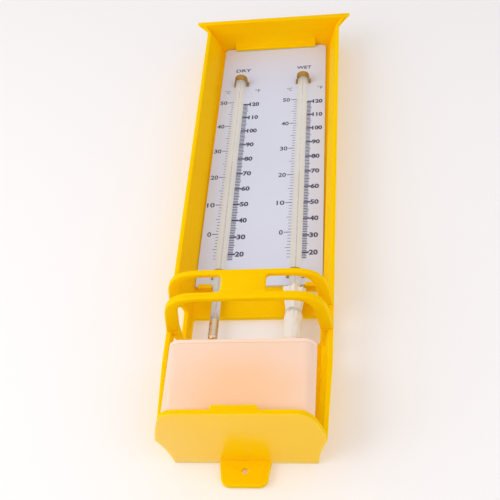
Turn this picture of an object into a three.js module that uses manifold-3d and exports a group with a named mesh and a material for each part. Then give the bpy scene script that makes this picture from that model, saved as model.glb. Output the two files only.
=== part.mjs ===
// Wet and dry bulb hygrometer for a wall, in millimetres.
// X runs across it, Y runs back to the wall, whose face is at zero, and Z runs up from under the shelf.
import * as THREE from 'three';
import * as BufferGeometryUtils from 'three/addons/utils/BufferGeometryUtils.js';
import Module from 'manifold-3d';

const wasm = await Module();
wasm.setup();

// Driving sizes of the moulded case
const caseHeight = 304;
const footBackHalf = 33.4;
const shoulderBackHalf = 35.6;
const topBackHalf = 38.8;
const shoulderHeight = 40;
const wallDepth = 22.2;
const wallFlare = 5;
const sideWall = 2.2;
const backWall = 2.4;
const mergeHeight = 7;
const mergeUpperHeight = 3;
const mergeMiddleFlare = 6;
const mergeTopFlare = 8.5;
const mergeTopDepth = 23.6;

// Hood over the top
const hoodDepth = 24.8;
const hoodOverhang = 11.9;
const hoodThickness = 3.8;
const hoodEdge = 0.8;

// Shelf at the foot with its front lip
const shelfDepth = 45.6;
const shelfFrontHalf = 31.6;
const shelfWaistHalf = 36.4;
const shelfWaistDepth = 33;
const shelfThickness = 2.4;
const shelfCorner = 6;
const lipHalf = 10.3;
const lipThickness = 2.2;
const lipHeight = 4.6;

// Hanging lugs above and below
const lugTopHalf = 12;
const lugEndHalf = 10.8;
const lugLength = 12.2;
const lugThickness = 2.8;
const lugCorner = 4.5;
const lugHoleRadius = 1.6;
const lugHoleInset = 5;

// Openings round the bulbs
const ventHalf = 33.2;
const ventBottom = 63;
const ventTop = 80;
const ventCorner = 1.5;
const slotRear = 8;
const slotFront = 18.8;
const slotBottom = 47;
const slotTop = 80;
const slotCorner = 2;

// Cage in front of the bulbs
const cageDepth = 49;
const cageBar = 3;
const cageBottom = 58.1;
const cageTop = 75.2;
const lowerHoopHeight = 3.9;
const upperHoopHeight = 2.8;
const cageStraightHalf = 22;
const cageShoulderDepth = 34;
const cageLegWidth = 6.3;
const hoopNearShare = 0.6;
const hoopFarShare = 0.86;
const hoopBendShare = 0.34;
const webHalf = 10.6;
const cageWindowCorner = 2;
const ledgeRear = 7;

// Scale plate and what holds it
const plateBottom = 99.4;
const plateHeadroom = 0.9;
const plateSideGap = 0.2;
const plateThickness = 1.4;
const plateCorner = 3;
const keeperHalf = 27;
const keeperThickness = 1.5;
const keeperOverlap = 2.4;
const keeperRootDepth = 16;
const hookX = 28.6;
const hookHalf = 3.6;
const hookThickness = 1.4;
const hookOverlap = 0.9;
const hookRoot = 2;
const hookSlotHeight = 4;

// Thermometers
const dryX = -20.8;
const wetX = 19.7;
const stemHalf = 3.2;
const stemBackHalf = 2.4;
const stemDepth = 6.2;
const stemHeadroom = 35.2;
const stemEndTaper = 1.6;
const stemEndShare = 0.72;
const stemFlatShare = 0.24;
const stemRoundTop = 98.4;
const stemRoundBottom = 94;
const bulbRadius = 2.4;
const bulbBottom = 62.6;
const bulbShoulder = 75.4;
const bulbNeck = 78.5;
const glassWall = 0.5;
const threadRadius = 0.2;
const enamelHalf = 1.9;
const enamelThickness = 0.6;
const enamelBottom = 99;
const enamelHeadroom = 2.5;
const zeroMark = 136.2;
const degreeStep = 2.235;
const dryReading = 24;
const wetReading = 19;

// Clips that hold the stems to the plate
const upperClipHeight = 4;
const lowerClipHeight = 2;
const clipThickness = 0.6;
const clipFoot = 0.8;
const upperClipInset = 3.6;
const lowerClipInset = 5.5;

// Muslin round the wet bulb, its tie and its tail
const sleeveTop = 94;
const sleeveBottom = 60.6;
const sleeveHalf = 5.2;
const sleeveDepthHalf = 4.2;
const bagHalf = 4.3;
const neckHalf = 3.65;
const tieHeight = 79;
const tieRadius = 0.45;
const ruffle = 0.35;
const ruffleCount = 9;
const tailWidth = 5.6;
const tailThickness = 3;
const tailDrop = 53;
const tailForward = 3.8;
const bagHeightShares = [0, 0.03, 0.12, 0.55, 0.85];
const bagWidthShares = [0.5, 0.78, 0.97, 1, 0.95];
const frillHeightShare = 0.4;
const frillWidthShare = 0.88;
const tailForwardShares = [0, 0.12, 0.5, 0.88, 1, 1];
const tailDropShares = [0, 0.03, 0.08, 0.13, 0.17, 1];

// Water tank and its lid
const tankFront = 41;
const tankRear = 4.5;
const tankTop = 39.1;
const tankFrontHalf = 34.2;
const tankRearHalf = 30.2;
const tankDraft = 0.5;
const tankFrontCorner = 6;
const tankRearCorner = 4;
const tankToe = 6;
const tankWall = 1.6;
const lidThickness = 2;
const lidPlugDepth = 1.6;
const lidPlugWall = 1.2;
const tailSlotHalf = 4.6;
const tailSlotDepthHalf = 3;

// Clearances, overruns and fineness
const gap = 0.3;
const overrun = 1;
const weld = 0.4;
const flarePower = 1.75;
const hoodPower = 2.2;
const flareSteps = 9;
const curveSteps = 8;
const cornerSteps = 6;
const roundSteps = 24;
const threadSteps = 10;
const foldSteps = 4;
const mergeShare = 0.001;

// Places that several pieces share
const plateBack = -backWall;
const plateFace = plateBack - plateThickness;
const stemAxis = plateFace - stemDepth / 2;
const plateTop = caseHeight - plateHeadroom;
const stemTop = caseHeight - stemHeadroom;
const enamelTop = stemTop - enamelHeadroom;
const upperClipMiddle = stemTop - upperClipInset;
const lowerClipMiddle = plateBottom + lowerClipInset;
const shelfTop = shelfThickness;
const lidTop = tankTop + lidThickness;

// Solids for cutting and joining

function toManifold(geometry) {
  const bare = geometry.clone();
  bare.deleteAttribute('normal');
  bare.deleteAttribute('uv');
  const merged = BufferGeometryUtils.mergeVertices(bare, gap * mergeShare);
  return new wasm.Manifold(new wasm.Mesh({
    numProp: 3,
    vertProperties: new Float32Array(merged.attributes.position.array),
    triVerts: new Uint32Array(merged.index.array),
  }));
}

function toGeometry(solid) {
  const mesh = solid.getMesh();
  const geometry = new THREE.BufferGeometry();
  geometry.setAttribute('position', new THREE.BufferAttribute(new Float32Array(mesh.vertProperties), 3));
  geometry.setIndex(new THREE.BufferAttribute(new Uint32Array(mesh.triVerts), 1));
  const faceted = geometry.toNonIndexed();
  faceted.computeVertexNormals();
  return faceted;
}

function joined(solids) {
  return solids.reduce((sum, solid) => sum.add(solid));
}

// Each ring is a list of [x, y, z] points that runs anticlockwise seen from above.
function loft(rings) {
  const count = rings[0].length;
  const positions = rings.flat(2);
  const indices = [];
  for (let level = 0; level + 1 < rings.length; level += 1) {
    for (let i = 0; i < count; i += 1) {
      const next = (i + 1) % count;
      const low = level * count;
      const high = low + count;
      indices.push(low + i, low + next, high + next, low + i, high + next, high + i);
    }
  }
  const topStart = (rings.length - 1) * count;
  for (const [ring, start, facesUp] of [[rings[0], 0, false], [rings[rings.length - 1], topStart, true]]) {
    const outline = ring.map(([x, y]) => new THREE.Vector2(x, y));
    for (const face of THREE.ShapeUtils.triangulateShape(outline, [])) {
      const turnsLeft = THREE.ShapeUtils.area(face.map((corner) => outline[corner])) > 0;
      const order = turnsLeft === facesUp ? face : [face[0], face[2], face[1]];
      indices.push(...order.map((corner) => start + corner));
    }
  }
  const geometry = new THREE.BufferGeometry();
  geometry.setAttribute('position', new THREE.BufferAttribute(new Float32Array(positions), 3));
  geometry.setIndex(indices);
  return toManifold(geometry);
}

function extruded(shape, length, steps = cornerSteps) {
  return new THREE.ExtrudeGeometry(shape, { depth: length, bevelEnabled: false, curveSegments: steps });
}

// A shape drawn in X and Y, raised from one height to another
function raised(shape, from, to, steps) {
  return toManifold(extruded(shape, to - from, steps).translate(0, 0, from));
}

// A shape drawn in X and Z, run back from one depth in front of the wall to another
function runBack(shape, fromDepth, toDepth, steps) {
  const geometry = extruded(shape, fromDepth - toDepth, steps);
  geometry.applyMatrix4(new THREE.Matrix4().set(1, 0, 0, 0, 0, 0, -1, -toDepth, 0, 1, 0, 0, 0, 0, 0, 1));
  return toManifold(geometry);
}

// A shape drawn in Y and Z, run across from one X to another
function runAcross(shape, from, to, steps) {
  const geometry = extruded(shape, to - from, steps);
  geometry.applyMatrix4(new THREE.Matrix4().set(0, 0, 1, from, 1, 0, 0, 0, 0, 1, 0, 0, 0, 0, 0, 1));
  return toManifold(geometry);
}

function polygon(points) {
  return new THREE.Shape(points.map(([x, y]) => new THREE.Vector2(x, y)));
}

function roundedRectangle(left, right, bottom, top, radius) {
  const shape = new THREE.Shape();
  shape.moveTo(left + radius, bottom);
  shape.lineTo(right - radius, bottom);
  shape.absarc(right - radius, bottom + radius, radius, -Math.PI / 2, 0);
  shape.lineTo(right, top - radius);
  shape.absarc(right - radius, top - radius, radius, 0, Math.PI / 2);
  shape.lineTo(left + radius, top);
  shape.absarc(left + radius, top - radius, radius, Math.PI / 2, Math.PI);
  shape.lineTo(left, bottom + radius);
  shape.absarc(left + radius, bottom + radius, radius, Math.PI, Math.PI * 1.5);
  return shape;
}

function circle(x, y, radius) {
  const shape = new THREE.Shape();
  shape.absarc(x, y, radius, 0, Math.PI * 2);
  return shape;
}

// The right half of an outline, from its front middle to its back, gives the whole of it.
function bothSides(rightHalf) {
  const leftHalf = rightHalf.map(([x, y]) => [-x, y]).reverse();
  return rightHalf.concat(leftHalf);
}

function atHeight(outline, z) {
  return outline.map(([x, y]) => [x, y, z]);
}

function arc(x, y, radius, from, to) {
  return Array.from({ length: cornerSteps + 1 }, (_, i) => {
    const angle = from + (to - from) * i / cornerSteps;
    return [x + radius * Math.cos(angle), y + radius * Math.sin(angle)];
  });
}

function mixed(a, b, share) {
  return a + (b - a) * share;
}

// Half width of the case's back at a height
function backHalfAt(z) {
  if (z < shoulderHeight) {
    return mixed(footBackHalf, shoulderBackHalf, z / shoulderHeight);
  }
  return mixed(shoulderBackHalf, topBackHalf, (z - shoulderHeight) / (caseHeight - shoulderHeight));
}

function flareHalf(backHalf, flare, depth, rimDepth) {
  return backHalf + flare * (depth / rimDepth) ** flarePower;
}

function wallHalfAt(z, depth) {
  return flareHalf(backHalfAt(z), wallFlare, depth, wallDepth);
}

// The plate lies between the side walls, so the narrower of its two ends gives its width.
function plateHalfWidth() {
  return Math.min(wallHalfAt(plateBottom, backWall), wallHalfAt(plateTop, backWall)) - sideWall - plateSideGap;
}

// One level of the case's back and its two side walls, which flare out to their rims in a hollow curve
function trayRing(z, flare, rimDepth) {
  const backHalf = backHalfAt(z);
  const side = (firstDepth, inset) => Array.from({ length: flareSteps + 1 }, (_, i) => {
    const depth = mixed(firstDepth, rimDepth, i / flareSteps);
    return [flareHalf(backHalf, flare, depth, rimDepth) - inset, -depth];
  });
  const outside = side(0, 0);
  const inside = side(backWall, sideWall);
  const mirror = (points) => points.map(([x, y]) => [-x, y]);
  const outline = [...outside.slice().reverse(), ...mirror(outside), ...mirror(inside).reverse(), ...inside];
  return atHeight(outline, z);
}

function tray() {
  return loft([
    trayRing(0, wallFlare, wallDepth),
    trayRing(shoulderHeight, wallFlare, wallDepth),
    trayRing(caseHeight - mergeHeight, wallFlare, wallDepth),
    trayRing(caseHeight - mergeUpperHeight, mergeMiddleFlare, wallDepth),
    trayRing(caseHeight, mergeTopFlare, mergeTopDepth),
    trayRing(caseHeight + weld, mergeTopFlare, mergeTopDepth),
  ]);
}

function hoodRing(z, inset) {
  const depth = hoodDepth - inset;
  const half = [];
  for (let i = flareSteps; i >= 0; i -= 1) {
    const share = i / flareSteps;
    const reach = hoodOverhang * share ** hoodPower;
    half.push([topBackHalf + reach - inset * share, -depth * share]);
  }
  return atHeight(bothSides(half), z);
}

function hood() {
  const top = caseHeight + hoodThickness;
  return loft([
    hoodRing(caseHeight, hoodEdge / 2),
    hoodRing(caseHeight + hoodEdge / 2, 0),
    hoodRing(top - hoodEdge, 0),
    hoodRing(top, hoodEdge),
  ]);
}

function shelf() {
  const cornerHalf = (shelfFrontHalf + shelfWaistHalf) / 2;
  const cornerDepth = (shelfDepth + shelfWaistDepth) / 2;
  const shape = new THREE.Shape();
  shape.moveTo(0, -shelfDepth);
  shape.lineTo(shelfFrontHalf - shelfCorner, -shelfDepth);
  shape.quadraticCurveTo(shelfFrontHalf, -shelfDepth, cornerHalf, -cornerDepth);
  shape.quadraticCurveTo(shelfWaistHalf, -shelfWaistDepth, wallHalfAt(0, wallDepth), -wallDepth);
  const front = shape.getPoints(cornerSteps).map((point) => [point.x, point.y]);
  const back = [];
  for (let i = flareSteps - 1; i >= 0; i -= 1) {
    const depth = wallDepth * i / flareSteps;
    back.push([wallHalfAt(0, depth), -depth]);
  }
  const half = front.slice(1).concat(back);
  const slab = raised(polygon(bothSides(half)), 0, shelfThickness);
  const lipShape = roundedRectangle(-lipHalf, lipHalf, 0, lipHeight, lipThickness / 2);
  return slab.add(runBack(lipShape, shelfDepth, shelfDepth - lipThickness));
}

// A lug that hangs from a level, or stands on it when its direction is 1
function lug(level, direction) {
  const end = level + direction * lugLength;
  const root = level - direction * weld;
  const corner = direction * lugCorner;
  const shape = new THREE.Shape();
  shape.moveTo(-lugTopHalf, root);
  shape.lineTo(-lugEndHalf, end - corner);
  shape.quadraticCurveTo(-lugEndHalf, end, lugCorner - lugEndHalf, end);
  shape.lineTo(lugEndHalf - lugCorner, end);
  shape.quadraticCurveTo(lugEndHalf, end, lugEndHalf, end - corner);
  shape.lineTo(lugTopHalf, root);
  shape.closePath();
  const holeHeight = level + direction * lugHoleInset;
  const hole = runBack(circle(0, holeHeight, lugHoleRadius), lugThickness + overrun, -overrun, roundSteps);
  return runBack(shape, lugThickness, 0).subtract(hole);
}

// The bar under the hood that overlaps the top edge of the scale plate
function plateKeeper() {
  const rear = plateFace - gap;
  const front = rear - keeperThickness;
  const bottom = plateTop - keeperOverlap;
  const shape = new THREE.Shape();
  shape.moveTo(rear, bottom);
  shape.lineTo(rear, caseHeight + weld);
  shape.lineTo(-keeperRootDepth, caseHeight + weld);
  shape.lineTo(-keeperRootDepth, caseHeight);
  shape.quadraticCurveTo(front, caseHeight, front, bottom);
  shape.closePath();
  return runAcross(shape, -keeperHalf, keeperHalf);
}

// A hook that the lower edge of the scale plate snaps behind
function plateHook(x) {
  const rear = plateFace - gap;
  const front = rear - hookThickness;
  const seat = plateBottom;
  const shape = polygon([
    [plateBack + weld, seat - hookRoot],
    [plateBack + weld, seat],
    [rear, seat],
    [rear, seat + hookOverlap],
    [front, seat + hookOverlap / 2],
    [front, seat - hookRoot],
  ]);
  return runAcross(shape, x - hookHalf, x + hookHalf);
}

// The ledge inside a side wall that carries the cage's lower leg back to the case
function legLedge(side) {
  const inner = wallHalfAt(cageBottom, wallDepth) - cageLegWidth;
  const points = [[inner, -wallDepth], [inner, -ledgeRear]];
  for (let i = 0; i <= flareSteps; i += 1) {
    const depth = mixed(ledgeRear, wallDepth, i / flareSteps);
    points.push([wallHalfAt(cageBottom, depth) - sideWall / 2, -depth]);
  }
  const shape = polygon(points.map(([x, y]) => [side * x, y]));
  return raised(shape, cageBottom, cageBottom + lowerHoopHeight);
}

function caseBody() {
  const vent = runBack(
    roundedRectangle(-ventHalf, ventHalf, ventBottom, ventTop, ventCorner),
    backWall + overrun,
    -overrun,
  );
  const sideSlots = runAcross(
    roundedRectangle(-slotFront, -slotRear, slotBottom, slotTop, slotCorner),
    -hoodOverhang - topBackHalf,
    hoodOverhang + topBackHalf,
  );
  const hookFoot = plateBottom - hookRoot;
  const hookSlots = [-hookX, hookX].map((x) => runBack(
    roundedRectangle(x - hookHalf, x + hookHalf, hookFoot - hookSlotHeight, hookFoot, gap),
    backWall + overrun,
    -overrun,
  ));
  const shell = tray().subtract(vent).subtract(sideSlots).subtract(joined(hookSlots));
  return joined([
    shell,
    hood(),
    shelf(),
    lug(0, -1),
    lug(caseHeight + hoodThickness, 1),
    plateKeeper(),
    plateHook(-hookX),
    plateHook(hookX),
    legLedge(-1),
    legLedge(1),
  ]);
}

function cage() {
  const rimHalf = wallHalfAt(cageBottom, wallDepth);
  const innerHalf = rimHalf - cageLegWidth;
  const innerDepth = cageDepth - cageBar;
  const innerStraight = cageStraightHalf - cageBar / 2;
  const half = new THREE.Shape();
  half.moveTo(0, -cageDepth);
  half.lineTo(cageStraightHalf, -cageDepth);
  half.bezierCurveTo(
    mixed(cageStraightHalf, rimHalf, hoopNearShare), -cageDepth,
    mixed(cageStraightHalf, rimHalf, hoopFarShare), -mixed(cageDepth, cageShoulderDepth, hoopBendShare),
    rimHalf - cageBar / 2, -cageShoulderDepth,
  );
  half.lineTo(rimHalf, -wallDepth);
  half.lineTo(innerHalf, -wallDepth);
  half.lineTo(innerHalf - cageBar / 2, -cageShoulderDepth);
  half.bezierCurveTo(
    innerHalf - cageBar / 2, -mixed(innerDepth, cageShoulderDepth, hoopBendShare),
    mixed(innerStraight, innerHalf, hoopNearShare), -innerDepth,
    innerStraight, -innerDepth,
  );
  half.lineTo(0, -innerDepth);
  const rightHalf = half.getPoints(curveSteps).map((point) => [point.x, point.y]);
  const leftHalf = rightHalf.slice(1, -1).map(([x, y]) => [-x, y]).reverse();
  const band = raised(polygon(rightHalf.slice(1, -1).concat(leftHalf)), cageBottom, cageTop);
  const windows = [-1, 1].map((side) => {
    const near = side * webHalf;
    const far = side * (rimHalf + overrun + cageWindowCorner);
    return runBack(
      roundedRectangle(
        Math.min(near, far),
        Math.max(near, far),
        cageBottom + lowerHoopHeight,
        cageTop - upperHoopHeight,
        cageWindowCorner,
      ),
      cageDepth + overrun,
      wallDepth - overrun,
    );
  });
  return band.subtract(joined(windows));
}

function scalePlate() {
  const plateHalf = plateHalfWidth();
  const shape = new THREE.Shape();
  shape.moveTo(-plateHalf, plateBottom);
  shape.lineTo(plateHalf, plateBottom);
  shape.lineTo(plateHalf, plateTop - plateCorner);
  shape.absarc(plateHalf - plateCorner, plateTop - plateCorner, plateCorner, 0, Math.PI / 2);
  shape.lineTo(plateCorner - plateHalf, plateTop);
  shape.absarc(plateCorner - plateHalf, plateTop - plateCorner, plateCorner, Math.PI / 2, Math.PI);
  return runBack(shape, -plateFace, -plateBack);
}

// One level of a stem, mixed from its lens section, flat at the back, towards a round one
function stemRing(z, roundness, scale) {
  const back = stemDepth / 2;
  const flatAngle = Math.PI * stemFlatShare;
  const ring = [];
  for (let i = 0; i < roundSteps; i += 1) {
    const angle = Math.PI * 2 * (i + 1 / 2) / roundSteps;
    const backward = -Math.cos(angle);
    const across = Math.sin(angle);
    const flat = backward > Math.cos(flatAngle);
    const lensX = flat ? across * stemBackHalf / Math.sin(flatAngle) : across * stemHalf;
    const lensY = flat ? back : backward * back;
    ring.push([
      scale * mixed(lensX, across * bulbRadius, roundness),
      stemAxis + scale * mixed(lensY, backward * bulbRadius, roundness),
      z,
    ]);
  }
  return ring;
}

// A body of revolution about a thermometer's own axis
function turned(profile) {
  const points = profile.map(([radius, height]) => new THREE.Vector2(radius, height));
  const geometry = new THREE.LatheGeometry(points, roundSteps);
  geometry.rotateX(Math.PI / 2);
  geometry.translate(0, stemAxis, 0);
  return toManifold(geometry);
}

function bulbProfile(inset) {
  const radius = bulbRadius - inset;
  const middle = bulbBottom + bulbRadius;
  const profile = [];
  for (let i = 0; i <= cornerSteps; i += 1) {
    const angle = Math.PI / 2 * i / cornerSteps;
    profile.push([i === 0 ? 0 : radius * Math.sin(angle), middle - radius * Math.cos(angle)]);
  }
  return profile;
}

function thermometerGlass() {
  const stem = loft([
    stemRing(bulbNeck, 1, 1),
    stemRing(stemRoundBottom, 1, 1),
    stemRing(stemRoundTop, 0, 1),
    stemRing(stemTop - stemEndTaper, 0, 1),
    stemRing(stemTop, 0, stemEndShare),
  ]);
  const bulb = turned([...bulbProfile(0), [bulbRadius, bulbNeck + weld], [0, bulbNeck + weld]]);
  const bore = raised(circle(0, stemAxis, threadRadius + gap), bulbShoulder, stemTop + overrun, threadSteps);
  const well = turned([
    ...bulbProfile(glassWall - gap / 2),
    [bulbRadius - glassWall + gap / 2, bulbShoulder],
    [threadRadius + gap, bulbNeck],
    [0, bulbNeck],
  ]);
  const groove = polygon([
    [-enamelHalf - gap, plateFace + overrun],
    [-enamelHalf - gap, plateFace - enamelThickness - gap],
    [enamelHalf + gap, plateFace - enamelThickness - gap],
    [enamelHalf + gap, plateFace + overrun],
  ]);
  const enamelSeat = raised(groove, enamelBottom - gap, stemTop + overrun);
  return stem.add(bulb).subtract(well).subtract(bore).subtract(enamelSeat);
}

function enamelBack() {
  const shape = polygon([
    [-enamelHalf, plateFace],
    [-enamelHalf, plateFace - enamelThickness],
    [enamelHalf, plateFace - enamelThickness],
    [enamelHalf, plateFace],
  ]);
  return raised(shape, enamelBottom, enamelTop);
}

// The mercury fills the bulb and stands up the bore to a reading in degrees Celsius.
function mercury(reading) {
  const fill = turned([
    ...bulbProfile(glassWall + gap / 2),
    [bulbRadius - glassWall - gap / 2, bulbShoulder - gap],
    [threadRadius, bulbShoulder + gap],
    [0, bulbShoulder + gap],
  ]);
  const level = zeroMark + degreeStep * reading;
  return fill.add(raised(circle(0, stemAxis, threadRadius), bulbShoulder, level, threadSteps));
}

// A strap that arches over a stem, with a foot on the plate at each side
function stemClip(middle, height) {
  const innerHalf = stemHalf + gap;
  const outerHalf = innerHalf + clipThickness;
  const spring = stemAxis;
  const innerRise = stemDepth / 2 + gap;
  const outerRise = innerRise + clipThickness;
  const shape = new THREE.Shape();
  shape.moveTo(-outerHalf - clipFoot, plateFace);
  shape.lineTo(-outerHalf - clipFoot, plateFace - clipThickness);
  shape.lineTo(-outerHalf, plateFace - clipThickness);
  shape.lineTo(-outerHalf, spring);
  shape.absellipse(0, spring, outerHalf, outerRise, -Math.PI, 0);
  shape.lineTo(outerHalf, plateFace - clipThickness);
  shape.lineTo(outerHalf + clipFoot, plateFace - clipThickness);
  shape.lineTo(outerHalf + clipFoot, plateFace);
  shape.lineTo(innerHalf, plateFace);
  shape.lineTo(innerHalf, spring);
  shape.absellipse(0, spring, innerHalf, innerRise, 0, -Math.PI, true);
  shape.lineTo(-innerHalf, plateFace);
  return raised(shape, middle - height / 2, middle + height / 2, roundSteps / 2);
}

// One level of the muslin, gathered in folds towards its open top
function muslinRing(z, half, depthHalf, fold) {
  const count = ruffleCount * foldSteps;
  return Array.from({ length: count }, (_, i) => {
    const angle = Math.PI * 2 * i / count;
    const swell = fold * Math.cos(ruffleCount * angle);
    return [(half + swell) * Math.cos(angle), stemAxis + (depthHalf + swell) * Math.sin(angle), z];
  });
}

// The sleeve is a frill above its tie and a closed bag round the bulb below it.
function wickSleeve() {
  const lining = bulbRadius + gap;
  const cloth = neckHalf - lining;
  const seat = bulbBottom - gap;
  const tieTop = tieHeight + tieRadius;
  const frillHeight = mixed(tieHeight, sleeveTop, frillHeightShare);
  const frillHalf = sleeveHalf * frillWidthShare;
  const frillDepthHalf = sleeveDepthHalf * frillWidthShare;
  const mouthHalf = sleeveHalf - ruffle;
  const mouthDepthHalf = sleeveDepthHalf - ruffle;
  const bag = bagHeightShares.map((share, i) => {
    const half = bagHalf * bagWidthShares[i];
    return muslinRing(mixed(sleeveBottom, tieHeight, share), half, half, 0);
  });
  const outside = [
    ...bag,
    muslinRing(tieHeight - tieRadius, neckHalf, neckHalf, 0),
    muslinRing(tieTop, neckHalf, neckHalf, 0),
    muslinRing(frillHeight, frillHalf, frillDepthHalf, ruffle / 2),
    muslinRing(sleeveTop, mouthHalf, mouthDepthHalf, ruffle),
  ];
  const inside = [
    muslinRing(seat, lining / 2, lining / 2, 0),
    muslinRing(seat + cloth, lining, lining, 0),
    muslinRing(tieTop, lining, lining, 0),
    muslinRing(frillHeight, lining, lining, 0),
    muslinRing(sleeveTop, mouthHalf - cloth, mouthDepthHalf - cloth, ruffle),
    muslinRing(sleeveTop + overrun, mouthHalf - cloth, mouthDepthHalf - cloth, ruffle),
  ];
  return loft(outside).subtract(loft(inside));
}

function wickTie() {
  const geometry = new THREE.TorusGeometry(neckHalf + gap / 2 + tieRadius, tieRadius, cornerSteps, roundSteps);
  geometry.translate(0, stemAxis, tieHeight);
  return toManifold(geometry);
}

// The muslin's tail bends forward under the bulb and hangs into the tank.
function wickTail() {
  const start = sleeveBottom - gap;
  const end = start - tailDrop;
  const rings = tailForwardShares.map((share, i) => {
    const z = mixed(start, end, tailDropShares[i]);
    const y = stemAxis - tailForward * share;
    return Array.from({ length: roundSteps / 2 }, (_, k) => {
      const angle = Math.PI * 4 * k / roundSteps;
      return [tailWidth / 2 * Math.cos(angle), y + tailThickness / 2 * Math.sin(angle), z];
    });
  });
  return loft(rings.reverse());
}

function tankOutline(share, inset) {
  const frontHalf = tankFrontHalf - tankDraft * (1 - share) - inset;
  const rearHalf = tankRearHalf - tankDraft * (1 - share) - inset;
  const front = -tankFront + inset;
  const rear = -tankRear - inset;
  const frontRadius = tankFrontCorner - inset;
  const rearRadius = tankRearCorner - inset;
  return bothSides([
    ...arc(frontHalf - frontRadius, front + frontRadius, frontRadius, -Math.PI / 2, 0),
    ...arc(rearHalf - rearRadius, rear - rearRadius, rearRadius, 0, Math.PI / 2),
  ]);
}

// The tank's outside when the inset is 0, and its inside when that is the wall
function tankForm(inset, bottom, top) {
  const outline = (z) => atHeight(tankOutline((z - shelfTop) / (tankTop - shelfTop), inset), z);
  const block = loft([outline(bottom), outline(top)]);
  const front = -tankFront + inset;
  const toe = tankToe - inset;
  const side = new THREE.Shape();
  side.moveTo(front + toe, bottom);
  side.lineTo(0, bottom);
  side.lineTo(0, top);
  side.lineTo(front - overrun, top);
  side.lineTo(front - overrun, bottom + toe);
  side.lineTo(front, bottom + toe);
  side.absarc(front + toe, bottom + toe, toe, Math.PI, Math.PI * 1.5);
  return block.intersect(runAcross(side, -tankFrontHalf - overrun, tankFrontHalf + overrun));
}

function tank() {
  return tankForm(0, shelfTop, tankTop).subtract(tankForm(tankWall, shelfTop + tankWall, tankTop + overrun));
}

function lid() {
  const plugInset = tankWall + gap;
  const slab = loft([
    atHeight(tankOutline(1, 0), tankTop),
    atHeight(tankOutline(1, 0), lidTop - gap),
    atHeight(tankOutline(1, gap), lidTop),
  ]);
  const plug = loft([
    atHeight(tankOutline(1, plugInset + gap), tankTop - lidPlugDepth),
    atHeight(tankOutline(1, plugInset), tankTop + weld),
  ]);
  const hollow = loft([
    atHeight(tankOutline(1, plugInset + lidPlugWall), tankTop - lidPlugDepth - overrun),
    atHeight(tankOutline(1, plugInset + lidPlugWall), tankTop),
  ]);
  const tailY = stemAxis - tailForward;
  const slot = raised(
    roundedRectangle(
      wetX - tailSlotHalf,
      wetX + tailSlotHalf,
      tailY - tailSlotDepthHalf,
      tailY + tailSlotDepthHalf,
      tailSlotDepthHalf / 2,
    ),
    tankTop - overrun,
    lidTop + overrun,
  );
  return slab.add(plug.subtract(hollow)).subtract(slot);
}

// Materials, one for each piece

const finishes = {
  yellowPlastic: { color: 0xf2bd07, roughness: 0.35, metalness: 0 },
  opalPlate: { color: 0xdcdde6, roughness: 0.4, metalness: 0 },
  glass: { color: 0xe9e6df, roughness: 0.05, metalness: 0, transparent: true, opacity: 0.35 },
  enamel: { color: 0xefe9d8, roughness: 0.4, metalness: 0 },
  mercury: { color: 0x8d8d92, roughness: 0.15, metalness: 1 },
  brass: { color: 0xa8761f, roughness: 0.3, metalness: 1 },
  muslin: { color: 0xf3f0ea, roughness: 0.9, metalness: 0 },
  thread: { color: 0xd9d2c6, roughness: 0.9, metalness: 0 },
  milkyPlastic: { color: 0xf6d3b0, roughness: 0.45, metalness: 0, transparent: true, opacity: 0.85 },
};

function piece(name, solid, finish) {
  const mesh = new THREE.Mesh(toGeometry(solid), new THREE.MeshStandardMaterial(finishes[finish]));
  mesh.name = name;
  return mesh;
}

function thermometer(prefix, x, reading) {
  const assembly = new THREE.Group();
  assembly.add(
    piece(`${prefix}_glass`, thermometerGlass(), 'glass'),
    piece(`${prefix}_enamel`, enamelBack(), 'enamel'),
    piece(`${prefix}_mercury`, mercury(reading), 'mercury'),
    piece(`${prefix}_upper_clip`, stemClip(upperClipMiddle, upperClipHeight), 'brass'),
    piece(`${prefix}_lower_clip`, stemClip(lowerClipMiddle, lowerClipHeight), 'brass'),
  );
  assembly.position.x = x;
  return assembly;
}

const wick = new THREE.Group();
wick.add(
  piece('wick_sleeve', wickSleeve(), 'muslin'),
  piece('wick_tie', wickTie(), 'thread'),
  piece('wick_tail', wickTail(), 'muslin'),
);
wick.position.x = wetX;

const reservoir = new THREE.Group();
reservoir.add(
  piece('reservoir_tank', tank(), 'milkyPlastic'),
  piece('reservoir_lid', lid(), 'milkyPlastic'),
);

const hygrometer = new THREE.Group();
hygrometer.add(
  piece('case_body', caseBody(), 'yellowPlastic'),
  piece('bulb_cage', cage(), 'yellowPlastic'),
  piece('scale_plate', scalePlate(), 'opalPlate'),
  thermometer('dry', dryX, dryReading),
  thermometer('wet', wetX, wetReading),
  wick,
  reservoir,
);

export default hygrometer;
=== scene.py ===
"""Looks of the wet and dry bulb hygrometer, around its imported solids.

Lengths below are in millimetres and become metres where a mesh is written. X runs across the instrument,
Y runs back to the wall, whose face is at zero, and Z runs up from under the shelf.
"""

import math

import bmesh
import bpy
import numpy as np
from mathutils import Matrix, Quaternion, Vector

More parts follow.
